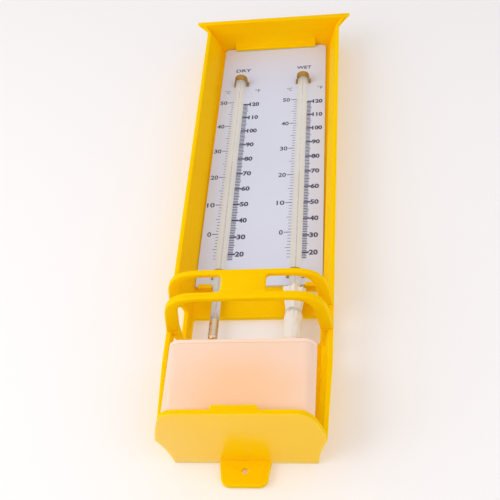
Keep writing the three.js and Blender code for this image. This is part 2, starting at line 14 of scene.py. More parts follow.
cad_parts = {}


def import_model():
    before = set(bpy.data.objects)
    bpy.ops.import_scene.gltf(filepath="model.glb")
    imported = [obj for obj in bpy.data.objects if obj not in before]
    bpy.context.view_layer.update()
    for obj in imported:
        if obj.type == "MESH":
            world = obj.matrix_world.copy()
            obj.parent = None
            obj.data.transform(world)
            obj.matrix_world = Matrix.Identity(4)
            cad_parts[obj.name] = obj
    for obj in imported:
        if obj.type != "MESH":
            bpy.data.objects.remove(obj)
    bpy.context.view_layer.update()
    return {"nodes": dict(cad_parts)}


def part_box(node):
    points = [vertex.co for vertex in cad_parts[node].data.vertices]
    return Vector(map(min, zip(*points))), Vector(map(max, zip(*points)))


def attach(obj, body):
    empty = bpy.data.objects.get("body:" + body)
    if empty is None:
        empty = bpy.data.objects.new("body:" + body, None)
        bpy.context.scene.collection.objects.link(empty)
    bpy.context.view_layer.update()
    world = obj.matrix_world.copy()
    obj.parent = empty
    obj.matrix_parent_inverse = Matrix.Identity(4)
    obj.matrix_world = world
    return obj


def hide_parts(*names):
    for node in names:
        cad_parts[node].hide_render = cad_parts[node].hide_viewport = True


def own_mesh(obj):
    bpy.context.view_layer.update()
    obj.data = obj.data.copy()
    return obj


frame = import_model()
MM = 0.001

# Places taken from the solids
PLATE_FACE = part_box("scale_plate")[0][1] / MM
STEM_LOW, STEM_HIGH = (np.array(corner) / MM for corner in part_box("wet_glass"))
DRY_X, WET_X = (sum(corner[0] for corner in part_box(node)) / 2 / MM for node in ("dry_glass", "wet_glass"))
STEM_AXIS = PLATE_FACE - 3.1
SLEEVE_LOW, SLEEVE_HIGH = (np.array(corner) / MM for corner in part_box("wick_sleeve"))
TAIL_LOW, TAIL_HIGH = (np.array(corner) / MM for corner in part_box("wick_tail"))
TIE_LOW, TIE_HIGH = (np.array(corner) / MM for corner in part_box("wick_tie"))
TIE_Z = (TIE_LOW[2] + TIE_HIGH[2]) / 2

# Thermometers
STEM_HALF = 3.2
STEM_BACK_HALF = 2.4
STEM_DEPTH = 6.2
STEM_BACK_INSET = 0.06
LENS_EDGE = np.pi * 0.24
STEM_MIDDLE = 180.0
MELTED_END = 1.6
BULB_RADIUS = 2.4
BULB_SHOULDER = 75.4
STEM_ROUND_TOP = 98.4
STEM_ROUND_BOTTOM = 94.0
BORE_RADIUS = 0.1
BORE_LEVELS = [200.0, 240.0]
BORE_END = 2.4
READ_DRY, READ_WET = 24, 19
ZERO_MARK = 136.2
DEGREE_STEP = 2.235

# Enamel in the necks: of its back and its front face, the radius round the neck and the place behind the axis
# where the strip above begins
ENAMEL_FACES = ((2.2, 3.0), (1.7, 2.5))
ENAMEL_EDGE = 0.25
ENAMEL_STRIP_HALF = 1.95
ENAMEL_BOTTOM = 99.0
ENAMEL_NECK = [BULB_SHOULDER + 0.8, 88.0]

# Printed scales: each line runs from start out to the reach of the tens, the fives or the ones, measured from
# the middle of the thermometer, and bold and fine are half the heights of the tens' lines and of the others
CELSIUS = dict(first=-8, last=50, start=-3.35, tens=-7.5, fives=-6.5, ones=-5.4, bold=0.24, fine=0.15)
FAHRENHEIT = dict(first=17, last=120, start=2.2, tens=6.6, fives=5.9, ones=5.4, bold=0.58, fine=0.3)
CELSIUS_NUMBERS_END = 8.1
CELSIUS_WIDTHS = {1: 2.2, 2: 4.5}
FAHRENHEIT_WIDTHS = {2: 4.9, 3: 6.1}
PRINT_DEPTH = 0.04
PRINT_ROOT = 0.2

# Moulded edges
SHARP_ANGLE = math.radians(38)
FLAT_ANGLE = math.radians(0.5)


# Meshes from arrays


def mesh_object(name, points, faces, uv=None, smooth=True):
    """An object whose mesh has the given points, in millimetres, and the given faces, as index rows."""
    mesh = bpy.data.meshes.new(name)
    points = np.asarray(points, float) * MM
    mesh.from_pydata(points.tolist(), [], [tuple(face) for face in faces])
    if uv is not None:
        layer = mesh.uv_layers.new(name="cloth")
        loops = np.empty(len(mesh.loops), int)
        mesh.loops.foreach_get("vertex_index", loops)
        layer.data.foreach_set("uv", (uv[loops] * MM).ravel())
    mesh.shade_smooth() if smooth else mesh.shade_flat()
    mesh.update()
    made = bpy.data.objects.new(name, mesh)
    bpy.context.scene.collection.objects.link(made)
    return made


def tube_faces(rows, columns):
    """Quads of a grid of rows rings with columns points each, every ring closed on itself."""
    row, column = np.meshgrid(np.arange(rows - 1), np.arange(columns), indexing="ij")
    after = (column + 1) % columns
    low, high = row * columns, (row + 1) * columns
    return np.stack([low + column, low + after, high + after, high + column], -1).reshape(-1, 4).tolist()


def closed_tube(grid):
    """The points and faces of a tube of rings, closed at both ends by a fan to the middle of the end ring.

    The rings run anticlockwise seen from the last one back to the first."""
    rows, columns = grid.shape[:2]
    points = np.concatenate([grid.reshape(-1, 3), grid[0].mean(0)[None], grid[-1].mean(0)[None]])
    faces = tube_faces(rows, columns)
    around = np.arange(columns)
    after = (around + 1) % columns
    low = np.full(columns, rows * columns)
    top = (rows - 1) * columns
    faces += np.stack([after, around, low], -1).tolist()
    faces += np.stack([top + around, top + after, low + 1], -1).tolist()
    return points, faces


def boxes(low, high):
    """The points and faces of one upright box for each row of low and high corners."""
    corners = np.array([[0, 0, 0], [1, 0, 0], [1, 1, 0], [0, 1, 0],
                        [0, 0, 1], [1, 0, 1], [1, 1, 1], [0, 1, 1]])
    points = (low[:, None] + corners[None] * (high - low)[:, None]).reshape(-1, 3)
    sides = np.array([[0, 3, 2, 1], [4, 5, 6, 7], [0, 1, 5, 4], [1, 2, 6, 5], [2, 3, 7, 6], [3, 0, 4, 7]])
    faces = (sides[None] + 8 * np.arange(len(low))[:, None, None]).reshape(-1, 4)
    return points, faces.tolist()


def surface(x, y, z):
    """A grid of points from its three coordinates, each a grid, a row, a column or one number."""
    return np.stack(np.broadcast_arrays(x, y, z), -1)


def eased(share):
    """A share from 0 to 1 that starts and ends gently: 3 s^2 - 2 s^3."""
    return share * share * (3 - 2 * share)


def round_section(radius, columns):
    """A circle of the given radius, as columns points."""
    angle = np.arange(columns) * 2 * np.pi / columns
    return radius * np.stack([np.cos(angle), np.sin(angle)], -1)


def along_upright(path, radius, columns):
    """A round tube along a path that goes mostly round Z: each ring spans Z and the path's level normal."""
    run = np.gradient(path, axis=0)
    run /= np.linalg.norm(run, axis=1, keepdims=True)
    side = np.cross(run, [0.0, 0.0, 1.0])
    side /= np.linalg.norm(side, axis=1, keepdims=True)
    up = np.cross(side, run)
    angle = (np.arange(columns) * 2 * np.pi / columns)[None, :, None]
    return path[:, None] + radius * (side[:, None] * np.cos(angle) + up[:, None] * np.sin(angle))


def face_outward(mesh, weld=None):
    """Turns a mesh's faces outward, once points within weld metres of each other are joined."""
    shape = bmesh.new()
    shape.from_mesh(mesh)
    if weld is not None:
        bmesh.ops.remove_doubles(shape, verts=shape.verts, dist=weld)
    bmesh.ops.recalc_face_normals(shape, faces=shape.faces)
    shape.to_mesh(mesh)
    shape.free()


# Camera, wall and light


def camera():
    """The photograph's point of view: low in front of the instrument and a little to its right."""
    data = bpy.data.cameras.new("camera")
    data.lens = 61.2
    data.sensor_width = 36
    data.clip_start = 0.01
    data.clip_end = 20
    made = bpy.data.objects.new("camera", data)
    made.location = (0.05784545, -0.35956575, -0.17182437)
    made.rotation_mode = "QUATERNION"
    made.rotation_quaternion = Quaternion((0.42443165, 0.9027508, 0.04204089, 0.05595828))
    bpy.context.scene.collection.objects.link(made)
    bpy.context.scene.camera = made


def lamp(name, place, aim, size, power):
    """A square soft lamp at a place, in metres, that faces its aim."""
    data = bpy.data.lights.new(name, "AREA")
    data.size = size
    data.energy = power
    made = bpy.data.objects.new(name, data)
    made.location = place
    way = np.array(aim) - np.array(place)
    made.rotation_mode = "QUATERNION"
    made.rotation_quaternion = Vector(way).to_track_quat("-Z", "Y")
    bpy.context.scene.collection.objects.link(made)


def shown_rays(tree):
    """A socket that is 1 for rays that show a surface to the camera, in metal or through glass, or else 0."""
    ray = add(tree, "ShaderNodeLightPath")
    either = add(tree, "ShaderNodeMath", operation="MAXIMUM")
    shown = add(tree, "ShaderNodeMath", operation="MAXIMUM")
    tree.links.new(ray.outputs["Is Camera Ray"], either.inputs[0])
    tree.links.new(ray.outputs["Is Transmission Ray"], either.inputs[1])
    tree.links.new(either.outputs[0], shown.inputs[0])
    tree.links.new(ray.outputs["Is Glossy Ray"], shown.inputs[1])
    return shown.outputs[0]


def world():
    """A plain pale world that lights softly and shows nearly white to the camera, in metal or through glass."""
    made = bpy.data.worlds.new("studio")
    made.use_nodes = True
    tree = made.node_tree
    tree.nodes.clear()
    out = add(tree, "ShaderNodeOutputWorld")
    mix = add(tree, "ShaderNodeMixShader")
    soft = add(tree, "ShaderNodeBackground", Color=(1, 1, 1, 1), Strength=0.7)
    seen = add(tree, "ShaderNodeBackground", Color=(1, 1, 1, 1), Strength=0.95)
    tree.links.new(shown_rays(tree), mix.inputs["Fac"])
    tree.links.new(soft.outputs[0], mix.inputs[1])
    tree.links.new(seen.outputs[0], mix.inputs[2])
    tree.links.new(mix.outputs[0], out.inputs["Surface"])
    bpy.context.scene.world = made


def wall():
    """The plain pale wall that the instrument hangs on, one flat sheet that shows from its front only.

    A part of its paint shows white to the camera, in metal and through glass, and the rest takes the shadows.
    Rays that set out right in front of it pass through, so the instrument's back isn't black from behind."""
    half, back = 3000, 0.6
    corners = [[-half, back, -half], [half, back, -half], [half, back, half], [-half, back, half]]
    made = mesh_object("wall", corners, [(0, 1, 2, 3)], smooth=False)
    material, shader = plain("wall_paint", (0.97, 0.955, 0.955), roughness=0.8)
    tree = material.node_tree
    link = tree.links.new

    white = add(tree, "ShaderNodeEmission")
    part = add(tree, "ShaderNodeMath", operation="MULTIPLY")
    part.inputs[1].default_value = 0.05
    seen = add(tree, "ShaderNodeMixShader")
    link(shown_rays(tree), part.inputs[0])
    link(part.outputs[0], seen.inputs["Fac"])
    link(shader.outputs[0], seen.inputs[1])
    link(white.outputs[0], seen.inputs[2])

    side = add(tree, "ShaderNodeNewGeometry")
    ray = add(tree, "ShaderNodeLightPath")
    near = add(tree, "ShaderNodeMath", operation="LESS_THAN")
    near.inputs[1].default_value = 6 * MM
    open_to = add(tree, "ShaderNodeMath", operation="MAXIMUM")
    clear = add(tree, "ShaderNodeBsdfTransparent")
    mix = add(tree, "ShaderNodeMixShader")
    link(ray.outputs["Ray Length"], near.inputs[0])
    link(near.outputs[0], open_to.inputs[0])
    link(side.outputs["Backfacing"], open_to.inputs[1])
    link(open_to.outputs[0], mix.inputs["Fac"])
    link(seen.outputs[0], mix.inputs[1])
    link(clear.outputs[0], mix.inputs[2])
    link(mix.outputs[0], tree.nodes["Material Output"].inputs["Surface"])
    made.data.materials.append(material)


# Materials


def linear(colour):
    """A display colour, 0 to 1, as scene linear."""
    colour = np.asarray(colour, float)
    return tuple(np.where(colour <= 0.04045, colour / 12.92, ((colour + 0.055) / 1.055) ** 2.4)) + (1.0,)


def plain(name, colour, roughness=0.5, metallic=0.0, **more):
    """A Principled material of one display colour; returns it and its shader."""
    material = bpy.data.materials.new(name)
    material.use_nodes = True
    shader = material.node_tree.nodes["Principled BSDF"]
    shader.inputs["Base Color"].default_value = linear(colour)
    shader.inputs["Roughness"].default_value = roughness
    shader.inputs["Metallic"].default_value = metallic
    for socket, value in more.items():
        shader.inputs[socket.replace("_", " ").title().replace("Ior", "IOR")].default_value = value
    return material, shader


def new_group(name, takes, gives):
    """An empty node group with the named inputs and outputs; returns it with its two end nodes."""
    group = bpy.data.node_groups.new(name, "ShaderNodeTree")
    for socket, kind, value in takes:
        made = group.interface.new_socket(socket, in_out="INPUT", socket_type=kind)
        if value is not None:
            made.default_value = value
    for socket, kind in gives:
        group.interface.new_socket(socket, in_out="OUTPUT", socket_type=kind)
    return group, group.nodes.new("NodeGroupInput"), group.nodes.new("NodeGroupOutput")


def add(tree, kind, **values):
    """A node of a kind with its properties and its unlinked inputs set."""
    node = tree.nodes.new(kind)
    for key, value in values.items():
        if hasattr(node, key):
            setattr(node, key, value)
        else:
            node.inputs[key.replace("_", " ")].default_value = value
    return node


def moulded_group():
    """Moulded plastic: two colours mixed by cloudy noise, a wavering roughness and a fine grain's height."""
    group, start, end = new_group(
        "moulded_plastic",
        [("Vector", "NodeSocketVector", None), ("Body", "NodeSocketColor", None),
         ("Shade", "NodeSocketColor", None), ("Gloss", "NodeSocketFloat", 0.3),
         ("Grain", "NodeSocketFloat", 2500.0)],
        [("Color", "NodeSocketColor"), ("Roughness", "NodeSocketFloat"), ("Height", "NodeSocketFloat")],
    )
    link = group.links.new
    broad = add(group, "ShaderNodeTexNoise", Scale=18.0, Detail=2.0)
    fine = add(group, "ShaderNodeTexNoise", Detail=3.0, Roughness=0.6)
    smear = add(group, "ShaderNodeTexNoise", Scale=60.0, Detail=4.0)
    ramp = add(group, "ShaderNodeMapRange")
    ramp.inputs["From Min"].default_value, ramp.inputs["From Max"].default_value = 0.35, 0.65
    colour = add(group, "ShaderNodeMix", data_type="RGBA")
    waver = add(group, "ShaderNodeMath", operation="MULTIPLY_ADD")
    waver.inputs[1].default_value = 0.05
    for noise in (broad, fine, smear):
        link(start.outputs["Vector"], noise.inputs["Vector"])
    link(start.outputs["Grain"], fine.inputs["Scale"])
    link(broad.outputs["Fac"], ramp.inputs["Value"])
    link(ramp.outputs["Result"], colour.inputs["Factor"])
    link(start.outputs["Body"], colour.inputs["A"])
    link(start.outputs["Shade"], colour.inputs["B"])
    link(smear.outputs["Fac"], waver.inputs[0])
    link(start.outputs["Gloss"], waver.inputs[2])
    link(colour.outputs["Result"], end.inputs["Color"])
    link(waver.outputs[0], end.inputs["Roughness"])
    link(fine.outputs["Fac"], end.inputs["Height"])
    return group


def seen_through_group():
    """Milky plastic: a painted see-through tint of the yellow moulding behind it in the middle, the plastic's
    own colour at the rims.
    """
    group, start, end = new_group(
        "seen_through",
        [("Vector", "NodeSocketVector", None), ("Rim", "NodeSocketColor", None),
         ("Middle", "NodeSocketColor", None), ("Noise", "NodeSocketFloat", 30.0)],
        [("Color", "NodeSocketColor")],
    )
    link = group.links.new
    ball = add(group, "ShaderNodeTexGradient", gradient_type="SPHERICAL")
    cloud = add(group, "ShaderNodeTexNoise", Detail=2.0)
    waver = add(group, "ShaderNodeMath", operation="MULTIPLY_ADD")
    waver.inputs[1].default_value = 0.25
    ease = add(group, "ShaderNodeMapRange", interpolation_type="SMOOTHSTEP")
    ease.inputs["From Min"].default_value, ease.inputs["From Max"].default_value = 0.1, 1.0
    colour = add(group, "ShaderNodeMix", data_type="RGBA")
    link(start.outputs["Vector"], ball.inputs["Vector"])
    link(start.outputs["Vector"], cloud.inputs["Vector"])
    link(start.outputs["Noise"], cloud.inputs["Scale"])
    link(cloud.outputs["Fac"], waver.inputs[0])
    link(ball.outputs["Fac"], waver.inputs[2])
    link(waver.outputs[0], ease.inputs["Value"])
    link(ease.outputs["Result"], colour.inputs["Factor"])
    link(start.outputs["Rim"], colour.inputs["A"])
    link(start.outputs["Middle"], colour.inputs["B"])
    link(colour.outputs["Result"], end.inputs["Color"])
    return group


def weave_group():
    """Plain weave: warp and weft threads as two crossed waves, lifted in turn, with a slow slub in each."""
    group, start, end = new_group(
        "plain_weave",
        [("Vector", "NodeSocketVector", None), ("Threads", "NodeSocketFloat", 1900.0),
         ("Light", "NodeSocketColor", None), ("Dark", "NodeSocketColor", None)],
        [("Color", "NodeSocketColor"), ("Height", "NodeSocketFloat")],
    )
    link = group.links.new
    warp = add(group, "ShaderNodeTexWave", bands_direction="X", Distortion=1.2)
    weft = add(group, "ShaderNodeTexWave", bands_direction="Y", Distortion=1.2)
    slub = add(group, "ShaderNodeTexNoise", Scale=420.0, Detail=3.0)
    high = add(group, "ShaderNodeMath", operation="MAXIMUM")
    worn = add(group, "ShaderNodeMath", operation="MULTIPLY")
    colour = add(group, "ShaderNodeMix", data_type="RGBA")
    for wave in (warp, weft):
        link(start.outputs["Vector"], wave.inputs["Vector"])
        link(start.outputs["Threads"], wave.inputs["Scale"])
    link(start.outputs["Vector"], slub.inputs["Vector"])
    link(warp.outputs["Fac"], high.inputs[0])
    link(weft.outputs["Fac"], high.inputs[1])
    link(high.outputs[0], worn.inputs[0])
    link(slub.outputs["Fac"], worn.inputs[1])
    link(worn.outputs[0], colour.inputs["Factor"])
    link(start.outputs["Dark"], colour.inputs["A"])
    link(start.outputs["Light"], colour.inputs["B"])
    link(colour.outputs["Result"], end.inputs["Color"])
    link(worn.outputs[0], end.inputs["Height"])
    return group


def moulded(name, group, body, shade, gloss, grain, relief, **more):
    """A plastic whose colour, gloss and grain come from the moulded plastic group on Object coordinates."""
    material, shader = plain(name, body, **more)
    tree = material.node_tree
    place = add(tree, "ShaderNodeTexCoord")
    made = add(tree, "ShaderNodeGroup", node_tree=group)
    made.inputs["Body"].default_value = linear(body)
    made.inputs["Shade"].default_value = linear(shade)
    made.inputs["Gloss"].default_value = gloss
    made.inputs["Grain"].default_value = grain
    bump = add(tree, "ShaderNodeBump", Strength=relief, Distance=0.0002)
    tree.links.new(place.outputs["Object"], made.inputs["Vector"])
    tree.links.new(made.outputs["Color"], shader.inputs["Base Color"])
    tree.links.new(made.outputs["Roughness"], shader.inputs["Roughness"])
    tree.links.new(made.outputs["Height"], bump.inputs["Height"])
    tree.links.new(bump.outputs["Normal"], shader.inputs["Normal"])
    return material


def polished_underside(material, weight):
    """A glossy coat at the level of the shelf's underside, which mirrors the wall and the lug."""
    tree = material.node_tree
    place = add(tree, "ShaderNodeTexCoord")
    apart = add(tree, "ShaderNodeSeparateXYZ")
    level = add(tree, "ShaderNodeMath", operation="COMPARE")
    level.inputs[1].default_value = 0.0
    level.inputs[2].default_value = 0.3 * MM
    coat = add(tree, "ShaderNodeMath", operation="MULTIPLY")
    coat.inputs[1].default_value = weight
    tree.links.new(place.outputs["Object"], apart.inputs["Vector"])
    tree.links.new(apart.outputs["Z"], level.inputs[0])
    tree.links.new(level.outputs[0], coat.inputs[0])
    tree.links.new(coat.outputs[0], tree.nodes["Principled BSDF"].inputs["Coat Weight"])


def lets_light_in(material, share, bounced=True):
    """Lets a share of the light pass on through a material that the camera sees as solid.

    That is the lamps' light, and where bounced is true also the light that comes off other surfaces."""
    tree = material.node_tree
    ray = add(tree, "ShaderNodeLightPath")
    solid = add(tree, "ShaderNodeMath", operation="MULTIPLY_ADD")
    solid.inputs[1].default_value = -share
    solid.inputs[2].default_value = 1.0
    passing = ray.outputs["Is Shadow Ray"]
    if bounced:
        either = add(tree, "ShaderNodeMath", operation="MAXIMUM")
        tree.links.new(ray.outputs["Is Shadow Ray"], either.inputs[0])
        tree.links.new(ray.outputs["Is Diffuse Ray"], either.inputs[1])
        passing = either.outputs[0]
    tree.links.new(passing, solid.inputs[0])
    tree.links.new(solid.outputs[0], tree.nodes["Principled BSDF"].inputs["Alpha"])


def milky(name, plastic, through, rim, middle, spread, centre):
    """Milky plastic: the moulded group's gloss and grain, coloured by the seen through group about a centre.

    The middle's colour, a painted see-through tint, spreads from the centre by the three lengths of spread."""
    material = moulded(name, plastic, rim, rim, gloss=0.3, grain=2200.0, relief=0.02)
    tree = material.node_tree
    shader = tree.nodes["Principled BSDF"]
    place = add(tree, "ShaderNodeTexCoord")
    move = add(tree, "ShaderNodeMapping", vector_type="TEXTURE")
    move.inputs["Location"].default_value = tuple(value * MM for value in centre)
    move.inputs["Scale"].default_value = tuple(value * MM for value in spread)
    made = add(tree, "ShaderNodeGroup", node_tree=through)
    made.inputs["Rim"].default_value = linear(rim)
    made.inputs["Middle"].default_value = linear(middle)
    made.inputs["Noise"].default_value = 3.0
    tree.links.new(place.outputs["Object"], move.inputs["Vector"])
    tree.links.new(move.outputs[0], made.inputs["Vector"])
    tree.links.new(made.outputs["Color"], shader.inputs["Base Color"])
    lets_light_in(material, 0.96)
    return material


def cloth(name, group, light, dark, threads, relief):
    """Cotton cloth: the plain weave on the piece's own map, with a soft sheen."""
    material, shader = plain(name, light, roughness=0.9, sheen_weight=0.25, sheen_roughness=0.5,
                             subsurface_weight=0.15, subsurface_radius=(0.002, 0.002, 0.002),
                             subsurface_scale=1.0)
    tree = material.node_tree
    place = add(tree, "ShaderNodeTexCoord")
    made = add(tree, "ShaderNodeGroup", node_tree=group)
    made.inputs["Light"].default_value = linear(light)
    made.inputs["Dark"].default_value = linear(dark)
    made.inputs["Threads"].default_value = threads
    bump = add(tree, "ShaderNodeBump", Strength=relief, Distance=0.0003)
    tree.links.new(place.outputs["UV"], made.inputs["Vector"])
    tree.links.new(made.outputs["Color"], shader.inputs["Base Color"])
    tree.links.new(made.outputs["Height"], bump.inputs["Height"])
    tree.links.new(bump.outputs["Normal"], shader.inputs["Normal"])
    return material


def brushed(name, colour, roughness):
    """Thin rolled metal: stretched noise wavers its roughness and its colour."""
    material, shader = plain(name, colour, roughness=roughness, metallic=1.0)
    tree = material.node_tree
    place = add(tree, "ShaderNodeTexCoord")
    stretch = add(tree, "ShaderNodeMapping")
    stretch.inputs["Scale"].default_value = (300, 300, 3000)
    noise = add(tree, "ShaderNodeTexNoise", Scale=1.0, Detail=3.0)
    rough = add(tree, "ShaderNodeMapRange")
    rough.inputs["To Min"].default_value = roughness - 0.1
    rough.inputs["To Max"].default_value = roughness + 0.15
    tint = add(tree, "ShaderNodeMix", data_type="RGBA")
    tint.inputs["A"].default_value = linear(np.array(colour) * 0.8)
    tint.inputs["B"].default_value = linear(colour)
    tree.links.new(place.outputs["Object"], stretch.inputs["Vector"])
    tree.links.new(stretch.outputs[0], noise.inputs["Vector"])
    tree.links.new(noise.outputs["Fac"], rough.inputs["Value"])
    tree.links.new(noise.outputs["Fac"], tint.inputs["Factor"])
    tree.links.new(rough.outputs[0], shader.inputs["Roughness"])
    tree.links.new(tint.outputs["Result"], shader.inputs["Base Color"])
    return material


def liquid_metal(name, colour, thread_painted_reflection, roughness):
    """Still liquid metal behind glass: slow noise wavers its roughness and its colour a little.

    The thread above the bulb is painted a plain pale colour instead of metal, a painted reflection in place of
    its mirroring."""
    material, shader = plain(name, colour, roughness=roughness, metallic=1.0)
    tree = material.node_tree
    place = add(tree, "ShaderNodeTexCoord")
    noise = add(tree, "ShaderNodeTexNoise", Scale=350.0, Detail=1.0)
    rough = add(tree, "ShaderNodeMapRange")
    rough.inputs["To Min"].default_value = roughness
    rough.inputs["To Max"].default_value = roughness + 0.1
    tint = add(tree, "ShaderNodeMix", data_type="RGBA")
    tint.inputs["A"].default_value = linear(np.array(colour) * 0.94)
    tint.inputs["B"].default_value = linear(colour)
    tree.links.new(place.outputs["Object"], noise.inputs["Vector"])
    tree.links.new(noise.outputs["Fac"], rough.inputs["Value"])
    tree.links.new(noise.outputs["Fac"], tint.inputs["Factor"])
    # Above the bulb the thread gets a pale painted reflection and no metal.
    apart = add(tree, "ShaderNodeSeparateXYZ")
    thread = add(tree, "ShaderNodeMath", operation="GREATER_THAN")
    thread.inputs[1].default_value = STEM_ROUND_BOTTOM * MM
    mirror = add(tree, "ShaderNodeMath", operation="SUBTRACT")
    mirror.inputs[0].default_value = 1.0
    paler = add(tree, "ShaderNodeMix", data_type="RGBA")
    paler.inputs["B"].default_value = linear(thread_painted_reflection)
    tree.links.new(place.outputs["Object"], apart.inputs["Vector"])
    tree.links.new(apart.outputs["Z"], thread.inputs[0])
    tree.links.new(thread.outputs[0], mirror.inputs[1])
    tree.links.new(thread.outputs[0], paler.inputs["Factor"])
    tree.links.new(tint.outputs["Result"], paler.inputs["A"])
    tree.links.new(rough.outputs[0], shader.inputs["Roughness"])
    tree.links.new(mirror.outputs[0], shader.inputs["Metallic"])
    tree.links.new(paler.outputs["Result"], shader.inputs["Base Color"])
    return material


def drawn_glass(name, colour, roughness):
    """Drawn glass rod: noise stretched along the rod tints it and ripples its face, and light passes it."""
    material, shader = plain(name, colour, roughness=roughness, ior=1.48, transmission_weight=1.0)
    tree = material.node_tree
    place = add(tree, "ShaderNodeTexCoord")
    stretch = add(tree, "ShaderNodeMapping")
    stretch.inputs["Scale"].default_value = (900, 900, 12)
    noise = add(tree, "ShaderNodeTexNoise", Scale=1.0, Detail=1.0)
    tint = add(tree, "ShaderNodeMix", data_type="RGBA")
    tint.inputs["A"].default_value = linear(np.array(colour) * (0.985, 0.99, 0.98))
    tint.inputs["B"].default_value = linear(colour)
    bump = add(tree, "ShaderNodeBump", Strength=0.06, Distance=0.0001)
    tree.links.new(place.outputs["Object"], stretch.inputs["Vector"])
    tree.links.new(stretch.outputs[0], noise.inputs["Vector"])
    tree.links.new(noise.outputs["Fac"], tint.inputs["Factor"])
    tree.links.new(noise.outputs["Fac"], bump.inputs["Height"])
    tree.links.new(tint.outputs["Result"], shader.inputs["Base Color"])
    tree.links.new(bump.outputs["Normal"], shader.inputs["Normal"])
    lets_light_in(material, 1.0)
    return material


def dress(solid, material):
    """Gives a solid one material, held by the object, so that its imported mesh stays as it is."""
    slot = solid.material_slots[0]
    slot.link = "OBJECT"
    slot.material = material


# Pieces


def softened(name, node, body, width, material):
    """A copy of a CAD node with its sharp edges rounded by a narrow bevel."""
    source = frame["nodes"][node]
    mesh = source.data.copy()
    shape = bmesh.new()
    shape.from_mesh(mesh)
    bmesh.ops.remove_doubles(shape, verts=shape.verts, dist=1e-6)
    bmesh.ops.dissolve_limit(shape, angle_limit=FLAT_ANGLE, verts=shape.verts, edges=shape.edges)
    shape.to_mesh(mesh)
    shape.free()
    mesh.name = name
    mesh.materials.clear()
    made = bpy.data.objects.new(name, mesh)
    bpy.context.scene.collection.objects.link(made)
    mesh.shade_smooth()
    bevel = made.modifiers.new("rounding", "BEVEL")
    bevel.width = width * MM
    bevel.segments = 3
    bevel.limit_method = "ANGLE"
    bevel.angle_limit = SHARP_ANGLE
    bevel.harden_normals = True
    made.data.materials.append(material)
    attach(made, body)
    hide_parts(node)


def stem_rings(levels, roundness, scale, columns):
    """Rings of a stem: at each level the lens section, flat at the back, turned to a circle by roundness."""
    angle = (np.arange(columns) + 0.5) * 2 * np.pi / columns
    backward, across = -np.cos(angle), np.sin(angle)
    flat = backward > math.cos(LENS_EDGE)
    lens_x = np.where(flat, across * STEM_BACK_HALF / math.sin(LENS_EDGE), across * STEM_HALF)
    lens_y = np.where(flat, STEM_DEPTH / 2 - STEM_BACK_INSET, backward * STEM_DEPTH / 2)
    roundness, scale = np.array(roundness)[:, None], np.array(scale)[:, None]
    x = scale * (lens_x + (across * BULB_RADIUS - lens_x) * roundness)
    y = STEM_AXIS + scale * (lens_y + (backward * BULB_RADIUS - lens_y) * roundness)
    return surface(x, y, np.array(levels)[:, None])


def celsius_height(degree):
    """The height of a degree Celsius on both scales."""
    return ZERO_MARK + DEGREE_STEP * degree


def fahrenheit_height(degree):
    """The height of a degree Fahrenheit on both scales."""
    return ZERO_MARK + DEGREE_STEP * (degree - 32) / 1.8


def thermometer_glass(name, node, x, reading, material):
    """One closed glass surface from the bulb's round end up to the stem's melted top, with an empty bore.

    The rings follow a quarter circle at the bulb, the lens section along the stem and a small round at the
    top, and the bore above the mercury is a thin inner tube that faces the other way."""
    turn = np.linspace(0.12, np.pi / 2, 9)
    blend = np.linspace(0, 1, 7)
    end_turn = np.linspace(0, np.pi / 2 - 0.35, 6)
    levels = np.concatenate([
        STEM_LOW[2] + BULB_RADIUS * (1 - np.cos(turn)),
        STEM_ROUND_BOTTOM + (STEM_ROUND_TOP - STEM_ROUND_BOTTOM) * blend,
        [STEM_MIDDLE],
        STEM_HIGH[2] - MELTED_END + MELTED_END * np.sin(end_turn),
    ])
    roundness = np.concatenate([np.ones(len(turn)), 1 - eased(blend), np.zeros(1 + len(end_turn))])
    scale = np.concatenate([np.sin(turn), np.ones(len(blend) + 1), 0.45 + 0.55 * np.cos(end_turn)])
    points, faces = closed_tube(stem_rings(levels, roundness, scale, columns=64))
    section = round_section(BORE_RADIUS, 10)
    height = np.array([celsius_height(reading) + 0.3, *BORE_LEVELS, STEM_HIGH[2] - BORE_END])[:, None]
    bore_points, bore_faces = closed_tube(surface(section[:, 0], STEM_AXIS + section[:, 1], height))
    faces += [[index + len(points) for index in face[::-1]] for face in bore_faces]
    made = mesh_object(name, np.concatenate([points, bore_points]) + [x, 0, 0], faces)
    made.data.materials.append(material)
    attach(made, "case")
    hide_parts(node)


def neck_enamel(name, x, material):
    """The lower end of the enamel, inside the glass from under the enamel strip down to the bulb.

    With a the angle round the neck, over the back half, its faces lie at 2.2 and at 1.7 times (cos a, sin a).
    Where the stem turns into a lens they ease to the flat strip above, whose faces lie 3.0 and 2.5 behind the
    axis."""
    a = np.linspace(ENAMEL_EDGE, np.pi - ENAMEL_EDGE, 16)[None]
    lens = np.linspace(STEM_ROUND_BOTTOM, STEM_ROUND_TOP, 8)
    z = np.concatenate([ENAMEL_NECK, lens, [ENAMEL_BOTTOM]])[:, None]
    ease = eased(np.clip((z - STEM_ROUND_BOTTOM) / (STEM_ROUND_TOP - STEM_ROUND_BOTTOM), 0, 1))
    faces_at = []
    for radius, behind in ENAMEL_FACES:
        across = np.cos(a) * (radius + (ENAMEL_STRIP_HALF - radius) * ease)
        back = radius * np.sin(a) + (behind - radius * np.sin(a)) * ease
        faces_at.append(surface(x + across, STEM_AXIS + back, z))
    outer, inner = faces_at
    grid = np.concatenate([outer, inner[:, ::-1]], axis=1)
    rows, columns = grid.shape[:2]
    step = np.arange(columns // 2 - 1)
    strip = np.stack([step, columns - 1 - step, columns - 2 - step, step + 1], -1)
    faces = tube_faces(rows, columns) + strip.tolist() + (strip[:, ::-1] + (rows - 1) * columns).tolist()
    made = mesh_object(name, grid.reshape(-1, 3), faces)
    made.data.materials.append(material)
    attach(made, "case")


